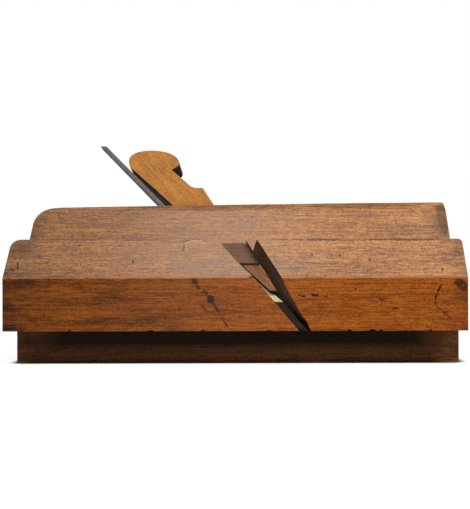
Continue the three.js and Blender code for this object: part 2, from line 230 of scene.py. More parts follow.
class Sheet:
    """A node tree that is being filled in."""

    def __init__(self, tree: bpy.types.NodeTree) -> None:
        """Keeps the tree and empties it."""
        self.tree = tree
        tree.nodes.clear()

    def add(self, kind: str, inputs: dict[Any, NodeInput] | None = None, **settings: Any) -> bpy.types.Node:
        """Adds a node with its settings and links.

        Args:
            kind: The node's Blender type.
            inputs: Socket name or number to a value, a hex colour, a socket, or a node, which
                gives its first output.
            **settings: The node's own properties.

        Returns:
            The node.
        """
        node = self.tree.nodes.new(kind)
        for key, value in settings.items():
            setattr(node, key, value)
        for key, value in (inputs or {}).items():
            if isinstance(key, int):
                socket = [one for one in node.inputs if one.enabled][key]
            else:
                socket = next(one for one in node.inputs if one.enabled and one.name == key)
            if isinstance(value, bpy.types.Node):
                value = next(one for one in value.outputs if one.enabled)
            if isinstance(value, bpy.types.NodeSocket):
                self.tree.links.new(value, socket)
            else:
                socket.default_value = linear(value) if isinstance(value, str) else value
        return node


class MaterialSheet(Sheet):
    """The tree of a new material, with the places that its patterns are laid out on."""

    def __init__(self, name: str) -> None:
        """Makes an empty node material.

        Args:
            name: The material's name.
        """
        self.material = bpy.data.materials.new(name)
        self.material.use_nodes = True
        super().__init__(self.material.node_tree)

    @cached_property
    def object_place(self) -> bpy.types.NodeSocket:
        """Places in the world in metres, which are Object coordinates on a piece at the origin."""
        return self.add("ShaderNodeTexCoord").outputs["Object"]

    @cached_property
    def world(self) -> Sockets:
        """Places in the world in millimetres, as sockets named X, Y and Z."""
        scaled = self.add("ShaderNodeVectorMath", {0: self.object_place, "Scale": 1 / MM}, operation="SCALE")
        return self.add("ShaderNodeSeparateXYZ", {"Vector": scaled}).outputs

    @cached_property
    def place(self) -> bpy.types.Node:
        """Places in the upright frame in millimetres, their depth counted from the frame's origin.

        Returns:
            The node that gives them.
        """
        return self.add(
            "ShaderNodeMapping",
            {
                "Vector": self.object_place,
                "Location": (0, LEAN.facet_y * MM, 0),
                "Rotation": (-LEAN.spring, 0, 0),
                "Scale": (MM, MM, MM),
            },
            vector_type="TEXTURE",
        )

    @cached_property
    def upright(self) -> Sockets:
        """The parts of `place`, as sockets named X, Y and Z."""
        return self.add("ShaderNodeSeparateXYZ", {"Vector": self.place}).outputs

    @cached_property
    def depth(self) -> bpy.types.Node:
        """How deep a point lies from the stock's right-hand side, in millimetres."""
        return self.add("ShaderNodeMath", {0: self.upright["Y"], 1: LEAN.origin_depth}, operation="ADD")

    @cached_property
    def from_middle(self) -> bpy.types.Node:
        """How far a point lies along the stock from its middle, in millimetres."""
        return self.add("ShaderNodeMath", {0: self.upright["X"]}, operation="ABSOLUTE")

    def cosine(self, direction: Vector) -> bpy.types.NodeSocket:
        """The cosine of the angle between the surface's normal and a direction of the world.

        Args:
            direction: A unit vector.

        Returns:
            The socket that gives it.
        """
        normal = self.add("ShaderNodeNewGeometry").outputs["True Normal"]
        turned = {0: normal, 1: direction}
        return self.add("ShaderNodeVectorMath", turned, operation="DOT_PRODUCT").outputs["Value"]

    def faded(self, *fades: tuple[Fade, NodeInput]) -> bpy.types.Node:
        """What is left of 1 where each of some values has faded it in its own way.

        Args:
            *fades: Pairs of a fade and the value that it goes by.

        Returns:
            The node that gives the product of them all.
        """
        parts = [self.add("ShaderNodeMapRange", fade.of(value)) for fade, value in fades]
        product = parts[0]
        for part in parts[1:]:
            product = self.add("ShaderNodeMath", {0: product, 1: part}, operation="MULTIPLY")
        return product

    def patches(
        self,
        size: Patches,
        place: NodeInput = None,
        shift: Sequence[float] = (0, 0, 0),
    ) -> bpy.types.Node:
        """Lays out a random pattern, its patches lengthwise along x.

        Args:
            size: How large the patches are.
            place: Where the pattern lies, or None for the upright frame.
            shift: How far it is slid, in patches.

        Returns:
            A node that gives 0 to 1, mostly near 0.5.
        """
        stretched = self.add(
            "ShaderNodeMapping",
            {
                "Vector": self.place if place is None else place,
                "Location": shift,
                "Scale": (1 / size.length, 1 / size.width, 1 / size.width),
            },
            vector_type="POINT",
        )
        return self.add("ShaderNodeTexNoise", {"Vector": stretched, "Scale": 1.0, "Detail": size.detail})

    def coated(self, colour: NodeInput, *coats: tuple[NodeInput, NodeInput]) -> NodeInput:
        """Lays coats of colour one over another.

        Args:
            colour: The colour underneath.
            *coats: Pairs of how much a coat covers, from 0 to 1, and its colour.

        Returns:
            The node that gives the colour on top.
        """
        for share, coat in coats:
            colour = self.add("ShaderNodeMix", {"Factor": share, "A": colour, "B": coat}, data_type="RGBA")
        return colour


# ------------------------------------------------------------------------------ marks on the wood


@dataclass(frozen=True)
class Mark:
    """One scratch, crack, dent or spot, as a run of points on a face.

    `width` is in millimetres, and `strength` goes from 0 to 1.
    """

    face: Face
    points: tuple[tuple[float, float], ...]
    width: float
    strength: float

    def path(self) -> list[Vector]:
        """The points in the stock's upright frame."""
        return [self.face.at(*point) for point in self.points]


GRIMED_AND_SHADED_MARKS = (
    # The long scuff that runs down the facet beside the mouth
    Mark(Face.FACET, ((-21.6, 45.2), (-20.4, 43.2)), 1.9, 0.85),
    Mark(Face.FACET, ((-19.8, 42.0), (-18.6, 40.6)), 1.3, 0.7),
    Mark(Face.FACET, ((-16.6, 39.2), (-14.6, 37.4)), 1.6, 0.75),
    Mark(Face.FACET, ((-13.4, 36.0), (-12.2, 34.2)), 2.7, 0.95),
    Mark(Face.FACET, ((-12.2, 34.0), (-8.0, 27.4)), 0.9, 0.8),
    Mark(Face.FACET, ((-7.6, 26.6), (-3.2, 19.2)), 0.8, 0.7),
    Mark(Face.FACET, ((-17.6, 32.0), (-14.6, 28.6)), 1.2, 0.5),
    # Dashes left by a tool's edge, ahead of the mouth
    Mark(Face.FACET, ((32.6, 36.9), (36.4, 36.4)), 0.8, 0.9),
    Mark(Face.FACET, ((38.8, 37.3), (43.6, 36.3)), 1.0, 1.0),
    Mark(Face.FACET, ((45.4, 36.4), (48.0, 36.2)), 0.7, 0.8),
    Mark(Face.FACET, ((62.2, 40.2), (62.4, 40.3)), 1.0, 0.9),
    Mark(Face.FACET, ((74.4, 34.6), (77.6, 34.4)), 0.7, 0.8),
    Mark(Face.FACET, ((80.6, 29.8), (84.8, 29.8)), 0.8, 0.8),
    # The crescent crack near the toe, and the knot above it
    Mark(Face.FACET, ((106.4, 42.2), (104.4, 38.1), (103.3, 34.5)), 0.9, 1.0),
    Mark(Face.FACET, ((103.3, 34.5), (103.9, 31.4), (106.4, 28.8), (112.1, 24.1)), 0.8, 0.65),
    Mark(Face.FACET, ((114.8, 44.0), (119.4, 40.6)), 3.6, 0.75),
    # Nicks and ticks on the shoulder
    Mark(Face.SHOULDER, ((-114.3, 49.3), (-113.6, 44.6)), 0.7, 1.0),
    Mark(Face.SHOULDER, ((-117.6, 46.6), (-115.2, 43.4)), 0.6, 0.8),
    Mark(Face.SHOULDER, ((-27.9, 60.6), (-28.1, 55.4)), 0.6, 0.9),
    Mark(Face.SHOULDER, ((-54.1, 51.6), (-54.0, 48.2)), 0.7, 0.8),
    Mark(Face.SHOULDER, ((-28.9, 62.0), (-24.6, 63.4), (-18.0, 64.0)), 0.7, 1.0),
    Mark(Face.SHOULDER, ((40.0, 53.9), (40.2, 53.9)), 1.3, 1.0),
    Mark(Face.SHOULDER, ((54.8, 53.3), (55.0, 53.3)), 1.1, 0.9),
    Mark(Face.SHOULDER, ((70.4, 50.8), (70.6, 50.8)), 1.2, 1.0),
    Mark(Face.SHOULDER, ((107.5, 44.4), (107.7, 44.4)), 1.2, 1.0),
    Mark(Face.SHOULDER, ((44.5, 63.2), (44.7, 63.2)), 1.1, 1.0),
    # Painted shade along the shoulder's upper arris, where it steps back to the grip, with some dirt
    Mark(Face.SHOULDER, ((14, 63.3), (66, 63.4)), 0.9, 0.8),
    Mark(Face.SHOULDER, ((60, 63.4), (117, 63.3)), 1.0, 0.8),
    Mark(Face.SHOULDER, ((-104, 63.4), (-66, 63.3)), 0.7, 0.7),
    Mark(Face.SHOULDER, ((-70, 63.3), (-32, 63.4)), 0.7, 0.6),
    # The grip's top band, painted darker where the lamp's sheen stops, and its stained toe end
    Mark(Face.GRIP, ((-70, 98.9), (40, 101.7)), 5.5, 0.3),
    Mark(Face.GRIP, ((30, 101.5), (116, 103.7)), 5.5, 0.34),
    Mark(Face.GRIP, ((118.5, 80), (118.0, 103)), 5.0, 0.45),
    # Small dents in the grip
    Mark(Face.GRIP, ((28.2, 99.0), (28.4, 99.0)), 1.2, 0.8),
    Mark(Face.GRIP, ((6.3, 91.8), (6.5, 91.8)), 1.1, 0.8),
    Mark(Face.GRIP, ((26.7, 86.1), (26.9, 86.1)), 1.0, 0.7),
)

BARED_MARKS = (
    # Fresh wood beside the chip on the shoulder's upper arris
    Mark(Face.SHOULDER, ((-28.4, 60.6), (-24.4, 62.2), (-18.0, 63.0)), 0.6, 0.9),
    Mark(Face.SHOULDER, ((-116, 62.7), (-60, 62.7)), 0.5, 0.5),
    Mark(Face.SHOULDER, ((-52.5, 47.9), (-44.6, 47.9)), 0.3, 0.6),
    Mark(Face.FACET, ((117.6, 41.8), (117.9, 41.7)), 1.0, 0.9),
    Mark(Face.SHOULDER, ((72.3, 47.4), (72.5, 47.4)), 1.1, 0.6),
)


@dataclass(frozen=True)
class DrawnMarks:
    """Marks of one colour with ragged edges, drawn on places that are shaken a little.

    `shake` is in millimetres, and `shakes` says how many there are in a millimetre. Each stretch
    of a mark is a ball drawn out to `reach` times its length and width together, to each side,
    which is full where its falloff passes the end of `edge`.
    """

    marks: tuple[Mark, ...]
    shake: float = 2.2
    shakes: float = 0.9
    reach: float = 0.62
    edge: tuple[float, float] = (0.1, 0.5)

    def field(self, sheet: MaterialSheet) -> bpy.types.Node:
        """How strongly a point is marked: the greatest of all the marks' falloffs.

        Args:
            sheet: The material's sheet.

        Returns:
            A node that gives 0 on clean wood and up to 1 in a mark.
        """
        noisy = sheet.add("ShaderNodeTexNoise", {"Vector": sheet.place, "Scale": self.shakes, "Detail": 3.0})
        noisy = sheet.add(
            "ShaderNodeVectorMath",
            {0: noisy.outputs["Color"], 1: (0.5, 0.5, 0.5)},
            operation="SUBTRACT",
        )
        ragged = sheet.add(
            "ShaderNodeVectorMath",
            {0: noisy, 1: (self.shake,) * 3, 2: sheet.place},
            operation="MULTIPLY_ADD",
        )
        total: NodeInput = 0.0
        for mark in self.marks:
            path = mark.path()
            for start, end in zip(path, path[1:]):
                along = end - start
                middle = (start + end) / 2 - Vector((0, LEAN.origin_depth, 0))
                capsule = sheet.add(
                    "ShaderNodeMapping",
                    {
                        "Vector": ragged,
                        "Location": middle,
                        "Rotation": along.to_track_quat("X", "Z").to_euler(),
                        "Scale": ((along.length + mark.width) * self.reach, mark.width, mark.width),
                    },
                    vector_type="TEXTURE",
                )
                ball = sheet.add("ShaderNodeTexGradient", {"Vector": capsule}, gradient_type="SPHERICAL")
                falloff = sheet.add(
                    "ShaderNodeMapRange",
                    Fade(*self.edge, 0.0, mark.strength).of(ball.outputs["Fac"]),
                    interpolation_type="SMOOTHSTEP",
                )
                total = sheet.add("ShaderNodeMath", {0: falloff, 1: total}, operation="MAXIMUM")
        return total


# ------------------------------------------------------------------------------ finishes


@dataclass(frozen=True)
class GrainLayer(Patches):
    """One scale of a wood's pattern: how much it tones the wood, and how far it raises it."""

    weight: float = 1.0
    relief: float = 0.0


@dataclass(frozen=True)
class BeechFinish:
    """Planed European beech.

    Beech is even and fine: its rays show as short dark dashes on the faces sawn across them, its
    growth rings as long faint bands, and its end grain as a close speckle. Lengths are in
    millimetres.
    """

    name: str
    pale: str
    dark: str
    # Both real dirt and painted shade: it fills dents and stains, and darkens faces where shade falls
    grime_and_shade: str = "#1a110b"
    roughness: float = 0.5
    roughness_swing: float = 0.06
    turn: float = 0.0
    pith: tuple[float, float, float] = (0, 30, -70)
    ring_spacing: float = 2.6
    ring_weight: float = 0.05
    # Most rays are finer than this and would not show, so all are drawn this coarse
    rays: Patches = Patches(2.4, 0.45, 1)
    ray_edge: Fade = Fade(0.6, 0.74)
    ray_weight: float = 0.32
    ray_hollow: float = 0.4
    layers: tuple[GrainLayer, ...] = (
        GrainLayer(60, 9, 3, 0.85),
        GrainLayer(34, 0.9, 3, 1.5, 0.5),
        GrainLayer(6.5, 0.6, 2, 1.8, 1.0),
        GrainLayer(1.2, 0.8, 1, 1.45, 0.6),
    )
    layer_shift: tuple[float, float, float] = (7.3, 3.1, 5.7)
    relief: float = 0.05
    flat: Fade = Fade(0.72, 0.985)
    rim: float = 0.0
    # Dirt on the rounded arrises, and painted shade on the wedge's flanks
    rim_dirt_and_shade: str = "#5f3c1e"
    # Painted shade where a face looks down; the leaning back side is spared
    under: Fade = Fade(0.12, 0.4)
    under_on_back: Fade = Fade(0, 1, 0.92, 0.0)

    def grain(self, sheet: MaterialSheet) -> tuple[bpy.types.Node, bpy.types.Node]:
        """The wood's own pattern.

        Args:
            sheet: The material's sheet.

        Returns:
            A tone from 0, dark, to 1, pale, and the height of the surface's fibres.
        """
        run = sheet.add(
            "ShaderNodeMapping",
            {"Vector": sheet.place, "Rotation": (0, self.turn, 0)},
            vector_type="TEXTURE",
        )
        # Growth rings, arcs about a pith well below the blank
        across = sheet.add(
            "ShaderNodeVectorMath",
            {0: run, 1: (0, 1, 1), 2: -Vector(self.pith)},
            operation="MULTIPLY_ADD",
        )
        radius = sheet.add("ShaderNodeVectorMath", {0: across}, operation="LENGTH").outputs["Value"]
        ring = sheet.add("ShaderNodeMath", {0: radius, 1: math.tau / self.ring_spacing}, operation="MULTIPLY")
        ring = sheet.add("ShaderNodeMath", {0: ring}, operation="SINE")
        tone = sheet.add("ShaderNodeMath", {0: ring, 1: self.ring_weight, 2: 0.5}, operation="MULTIPLY_ADD")
        height: NodeInput = 0.0
        for number, layer in enumerate(self.layers):
            pattern = sheet.patches(layer, run, [number * step for step in self.layer_shift])
            pattern = sheet.add("ShaderNodeMath", {0: pattern, 1: 0.5}, operation="SUBTRACT")
            toned = {0: pattern, 1: layer.weight, 2: tone}
            tone = sheet.add("ShaderNodeMath", toned, operation="MULTIPLY_ADD")
            raised = {0: pattern, 1: layer.relief, 2: height}
            height = sheet.add("ShaderNodeMath", raised, operation="MULTIPLY_ADD")
        rays = sheet.patches(self.rays, run)
        rays = sheet.add("ShaderNodeMapRange", self.ray_edge.of(rays), interpolation_type="SMOOTHSTEP")
        tone = sheet.add("ShaderNodeMath", {0: rays, 1: -self.ray_weight, 2: tone}, operation="MULTIPLY_ADD")
        hollowed = {0: rays, 1: -self.ray_hollow, 2: height}
        height = sheet.add("ShaderNodeMath", hollowed, operation="MULTIPLY_ADD")
        return tone, height

    def waxed(
        self,
        sheet: MaterialSheet,
        colour: NodeInput,
        grain: tuple[NodeInput, NodeInput],
        gloss: NodeInput = 0.5,
    ) -> bpy.types.Material:
        """Ends the tree in a waxed wood surface, a little rougher where the wood is pale.

        Args:
            sheet: The material's sheet.
            colour: The surface colour.
            grain: The wood's tone and height.
            gloss: The specular level, 0.5 for clean wax.

        Returns:
            The finished material.
        """
        tone, height = grain
        swing = Fade(0.2, 0.8, self.roughness - self.roughness_swing, self.roughness + self.roughness_swing)
        rough = sheet.add("ShaderNodeMapRange", swing.of(tone))
        bump = sheet.add("ShaderNodeBump", {"Height": height, "Strength": 1.0, "Distance": self.relief * MM})
        surface = sheet.add(
            "ShaderNodeBsdfPrincipled",
            {
                "Base Color": colour,
                "Roughness": rough,
                "Normal": bump,
                "IOR": 1.5,
                "Specular IOR Level": gloss,
            },
        )
        sheet.add("ShaderNodeOutputMaterial", {"Surface": surface})
        return sheet.material

    def material(self) -> bpy.types.Material:
        """The finish on a plain piece, with painted shade where it faces down.

        Returns:
            The material.
        """
        sheet = MaterialSheet(self.name)
        tone, height = self.grain(sheet)
        # Faces that turn from both sides, the rounded arrises and the ends, are browner than the flat sides:
        # dirt on the arrises, painted shade on the wedge's flanks
        near, back = (
            sheet.add("ShaderNodeMapRange", self.flat.of(sheet.cosine(side)))
            for side in (LEAN.outward, -LEAN.outward)
        )
        flat = sheet.add("ShaderNodeMath", {0: near, 1: back}, operation="MAXIMUM")
        rim = sheet.add("ShaderNodeMapRange", Fade(0, 1, self.rim, 0.0).of(flat))
        # The leaning back side faces down too, but gets no painted shade, like the near one
        down = sheet.cosine(Vector((0, 0, -1)))
        under = sheet.faded((self.under, down), (self.under_on_back, back))
        colour = sheet.coated(self.dark, (tone, self.pale), (rim, self.rim_dirt_and_shade), (under, self.grime_and_shade))
        return self.waxed(sheet, colour, (tone, height))


@dataclass(frozen=True)
class HandledBeechFinish(BeechFinish):
    """Oiled and waxed beech after long use.

    The plumb facet stays a clear orange brown, the faces that hands hold take a paler coat of old
    oil that is partly painted sheen, the fence darkens upwards with painted shade, the throat with
    painted shade and dirt, arrises are pale with wear and, along the fence's foot, with a painted
    highlight, and dents fill with dirt. A fade that is named for a place gives how a coat changes
    along the stock, up it or into it.
    """

    roughness_swing: float = 0.1
    bare_and_highlight: str = "#d29a60"

    # The facet, clouded with old oil, more so in its pores than on the hard wood between them, and more
    # towards the heel, where it also paints the key light falling off
    facet_edge: tuple[float, float] = (0.1, 0.7)
    clouds: Patches = Patches(26, 6, 5)
    cloud_cover: Fade = Fade(0.4, 0.7, 0.16, 0.85)
    cloud_and_shade_along: Fade = Fade(-110, 20, 1.1, 0.12)
    cloud_in_pores: Fade = Fade(0.2, 0.8, 1.2, 0.8)

    # The shoulder and the grip, with a coat of old oil near the heel that is partly painted sheen, and dirt
    # in the pores and pits
    handled_pale: str = "#e8a466"
    handled_dark: str = "#834f2b"
    film_and_sheen: str = "#98745a"
    film_and_sheen_patches: Patches = Patches(24, 7)
    film_and_sheen_cover: Fade = Fade(0.4, 0.7, 0.0, 0.42)
    film_and_sheen_along: Fade = Fade(0, 45, 1.0, 0.1)
    pit: str = "#774420"
    pit_size: float = 1.3
    pit_crowd_size: float = 17.0
    pit_crowding: float = 0.22
    pit_cover: Fade = Fade(0.69, 0.86, 0.0, 0.72)

    # The fence, with painted shade that darkens it upwards into the corner under the facet, less at the ends
    fence_pale: str = "#d08a52"
    fence_dark: str = "#84532f"
    fence_top: tuple[float, float] = (8.0, 14.0)
    fence_back: Fade = Fade(-11, 2, 1.0, 0.0)
    fence_up: Fade = Fade(2.0, 10.5, 0.0, 0.95)
    fence_at_ends: Fade = Fade(96, 113, 1.0, 0.5)

    # The heel is painted darker than the toe, partly stain and partly painted shade where the key light falls
    # off, and stains creep in from both ends
    heel_along: Fade = Fade(35, -120, 0.0, 0.3)
    stains: Patches = Patches(14, 7, 4)
    stain_creep: float = 60.0
    stain_along: Fade = Fade(132, 165, 0.0, 0.6)
    end_turned: Fade = Fade(0.1, 0.45, 0.0, 0.6)
    end_square: Fade = Fade(0.9, 0.99, 1.0, 0.0)

    # The throat is painted near black, with dirt and with painted shade for the deep recess, darkest low
    # down; its shallow cheek only browned
    cheek: str = "#8c644a"
    wall: str = "#b99b7c"
    throat_soft: float = 0.3
    cheek_outward: Fade = Fade(0.8, 0.95)
    wall_up: Fade = Fade(22, 34, 0.15, 1.0)
    wall_inward: Fade = Fade(0.5, 13, 0.35, 1.0)
    throat_mottle: Fade = Fade(0, 1, 0.5, 0.0)

    # The long arrises are pale in patches: wear, and along the fence's foot a painted highlight
    rubs: Patches = Patches(9, 3, 4)
    rub_reach: Fade = Fade(0.3, 0.7, 0.15, 0.9)
    rub_cover: Fade = Fade(0.35, 1.0, 0.55, 0.0)

    # Hands have polished the middle of the stock most
    polish_middle: float = -12.0
    polish_along: Fade = Fade(15, 70, 0.5, 0.22)
    dull_gloss: float = 0.12

    def facet_colour(self, sheet: MaterialSheet, tone: bpy.types.Node) -> NodeInput:
        """The plumb facet's colour.

        Args:
            sheet: The material's sheet.
            tone: The grain's tone.

        Returns:
            The node that gives it.
        """
        cloud = sheet.faded(
            (self.cloud_cover, sheet.patches(self.clouds)),
            (self.cloud_and_shade_along, sheet.upright["X"]),
            (self.cloud_in_pores, tone),
        )
        return sheet.coated(self.dark, (tone, self.pale), (cloud, self.grime_and_shade))

    def handled_colour(self, sheet: MaterialSheet, tone: bpy.types.Node) -> NodeInput:
        """The colour of the faces that hands hold, partly painted sheen.

        Args:
            sheet: The material's sheet.
            tone: The grain's tone.

        Returns:
            The node that gives it.
        """
        film_and_sheen = sheet.faded(
            (self.film_and_sheen_cover, sheet.patches(self.film_and_sheen_patches)),
            (self.film_and_sheen_along, sheet.upright["X"]),
        )
        pits, crowd = (
            sheet.add("ShaderNodeTexNoise", {"Vector": sheet.place, "Scale": 1 / size, "Detail": 2.0})
            for size in (self.pit_size, self.pit_crowd_size)
        )
        crowded = {0: crowd, 1: self.pit_crowding, 2: pits}
        crowded = sheet.add("ShaderNodeMath", crowded, operation="MULTIPLY_ADD")
        pits = sheet.add("ShaderNodeMapRange", self.pit_cover.of(crowded))
        return sheet.coated(
            self.handled_dark,
            (tone, self.handled_pale),
            (film_and_sheen, self.film_and_sheen),
            (pits, self.pit),
        )

    def fence_colour(self, sheet: MaterialSheet, tone: bpy.types.Node) -> NodeInput:
        """The fence's colour, with painted shade that darkens it upwards.

        Args:
            sheet: The material's sheet.
            tone: The grain's tone.

        Returns:
            The node that gives it.
        """
        up = sheet.faded((self.fence_up, sheet.world["Z"]), (self.fence_at_ends, sheet.from_middle))
        return sheet.coated(self.fence_dark, (tone, self.fence_pale), (up, self.grime_and_shade))

    def throat_colour(self, sheet: MaterialSheet, tone: bpy.types.Node) -> NodeInput:
        """The throat's colour: dirt and painted shade.

        Args:
            sheet: The material's sheet.
            tone: The grain's tone.

        Returns:
            The node that gives it.
        """
        # Higher up and deeper in, the wall shows its own colour; low down and near the surface it stays dark
        # with dirt and painted shade
        clean_and_lit = sheet.faded((self.wall_up, sheet.upright["Z"]), (self.wall_inward, sheet.depth))
        outward = sheet.add("ShaderNodeMapRange", self.cheek_outward.of(sheet.cosine(LEAN.outward)))
        mottle = sheet.add("ShaderNodeMapRange", self.throat_mottle.of(tone))
        return sheet.coated(self.grime_and_shade, (clean_and_lit, self.wall), (outward, self.cheek), (mottle, self.grime_and_shade))

    def behind_facet(self, sheet: MaterialSheet) -> tuple[Fade, NodeInput]:
        """The fade that leaves 0 on the plumb facet and 1 behind it, and the value it goes by."""
        edge = Fade(*(LEAN.facet_y + back for back in self.facet_edge))
        return edge, sheet.world["Y"]

    def on_fence(self, sheet: MaterialSheet) -> bpy.types.Node:
        """Where the fence is: low down and behind the facet, but not on the stock's back.

        Args:
            sheet: The material's sheet.

        Returns:
            A node that gives 1 on the fence and 0 away from it.
        """
        low = Fade(*(LEAN.facet_bottom + above for above in self.fence_top), 1.0, 0.0)
        return sheet.faded(
            self.behind_facet(sheet),
            (low, sheet.world["Z"]),
            (self.fence_back, sheet.world["Y"]),
        )

    def in_throat(self, sheet: MaterialSheet) -> bpy.types.Node:
        """Where the throat's walls are: inside the block from which it is cut.

        Args:
            sheet: The material's sheet.

        Returns:
            A node that gives 1 in the throat and 0 away from it.
        """
        soft = self.throat_soft
        return sheet.faded(
            self.behind_facet(sheet),
            *between(sheet.depth, 0.5, LEAN.rabbet_depth - 0.6, soft),
            *between(sheet.upright["Z"], LEAN.throat_bottom, LEAN.shoulder_height - 0.5, soft),
            *between(sheet.from_middle, 0.0, LEAN.half_length - 2, soft),
        )

    def aged(self, sheet: MaterialSheet, colour: NodeInput) -> NodeInput:
        """Darkens the heel, partly as painted shade, and both ends and their rounded arrises.

        Args:
            sheet: The material's sheet.
            colour: The colour of the fresher wood.

        Returns:
            The node that gives the darkened colour.
        """
        heel = sheet.add("ShaderNodeMapRange", self.heel_along.of(sheet.upright["X"]))
        creep = {0: sheet.patches(self.stains), 1: self.stain_creep, 2: sheet.from_middle}
        creep = sheet.add("ShaderNodeMath", creep, operation="MULTIPLY_ADD")
        stain = sheet.add("ShaderNodeMapRange", self.stain_along.of(creep), interpolation_type="SMOOTHSTEP")
        colour = sheet.coated(colour, (heel, self.grime_and_shade), (stain, self.grime_and_shade))
        for way in (-1, 1):
            end = sheet.cosine(Vector((way, 0, 0)))
            arris = sheet.faded((self.end_turned, end), (self.end_square, end))
            colour = sheet.coated(colour, (arris, self.grime_and_shade))
        return colour

    def worn_and_highlit_arrises(self, sheet: MaterialSheet) -> bpy.types.Node:
        """Where the long arrises are painted pale: wear, and along the fence's foot a painted highlight.

        Args:
            sheet: The material's sheet.

        Returns:
            A node that gives up to about half on a pale arris and 0 away from it.
        """
        shift = Vector((0, LEAN.origin_depth, 0))
        lines = (
            LEAN.sprung(0, LEAN.facet_top),
            LEAN.sprung(LEAN.fence_set_back, 0),
            Vector((0, LEAN.thickness, (LEAN.grip_heel + LEAN.grip_toe) / 2)),
        )
        section = sheet.add("ShaderNodeVectorMath", {0: sheet.place, 1: (0, 1, 1)}, operation="MULTIPLY")
        # To begin with, farther than any rub reaches
        nearest: NodeInput = 99.0
        for line in lines:
            distance = sheet.add("ShaderNodeVectorMath", {0: section, 1: line - shift}, operation="DISTANCE")
            away = {0: distance.outputs["Value"], 1: nearest}
            nearest = sheet.add("ShaderNodeMath", away, operation="MINIMUM")
        reach = sheet.add("ShaderNodeMapRange", self.rub_reach.of(sheet.patches(self.rubs)))
        away = sheet.add("ShaderNodeMath", {0: nearest, 1: reach}, operation="DIVIDE")
        return sheet.add("ShaderNodeMapRange", self.rub_cover.of(away), interpolation_type="SMOOTHSTEP")

    def gloss(self, sheet: MaterialSheet, dulled: bpy.types.Node) -> bpy.types.Node:
        """The wax's specular level.

        Args:
            sheet: The material's sheet.
            dulled: 1 where no hand reaches.

        Returns:
            The node that gives it.
        """
        off = {0: sheet.upright["X"], 1: self.polish_middle}
        off = sheet.add("ShaderNodeMath", off, operation="SUBTRACT")
        off = sheet.add("ShaderNodeMath", {0: off}, operation="ABSOLUTE")
        polish = sheet.add("ShaderNodeMapRange", self.polish_along.of(off))
        levels = {"Factor": dulled, "A": polish, "B": self.dull_gloss}
        return sheet.add("ShaderNodeMix", levels, data_type="FLOAT")

    def material(self) -> bpy.types.Material:
        """The finish on the stock.

        Returns:
            The material.
        """
        sheet = MaterialSheet(self.name)
        tone, height = self.grain(sheet)
        behind = sheet.faded(self.behind_facet(sheet))
        on_fence = self.on_fence(sheet)
        in_throat = self.in_throat(sheet)
        colour = sheet.coated(
            self.facet_colour(sheet, tone),
            (behind, self.handled_colour(sheet, tone)),
            (on_fence, self.fence_colour(sheet, tone)),
        )
        colour = sheet.coated(
            self.aged(sheet, colour),
            (in_throat, self.throat_colour(sheet, tone)),
            (self.worn_and_highlit_arrises(sheet), self.bare_and_highlight),
            (DrawnMarks(BARED_MARKS).field(sheet), self.bare_and_highlight),
            (DrawnMarks(GRIMED_AND_SHADED_MARKS).field(sheet), self.grime_and_shade),
        )
        dulled = sheet.add("ShaderNodeMath", {0: on_fence, 1: in_throat}, operation="MAXIMUM")
        return self.waxed(sheet, colour, (tone, height), self.gloss(sheet, dulled))


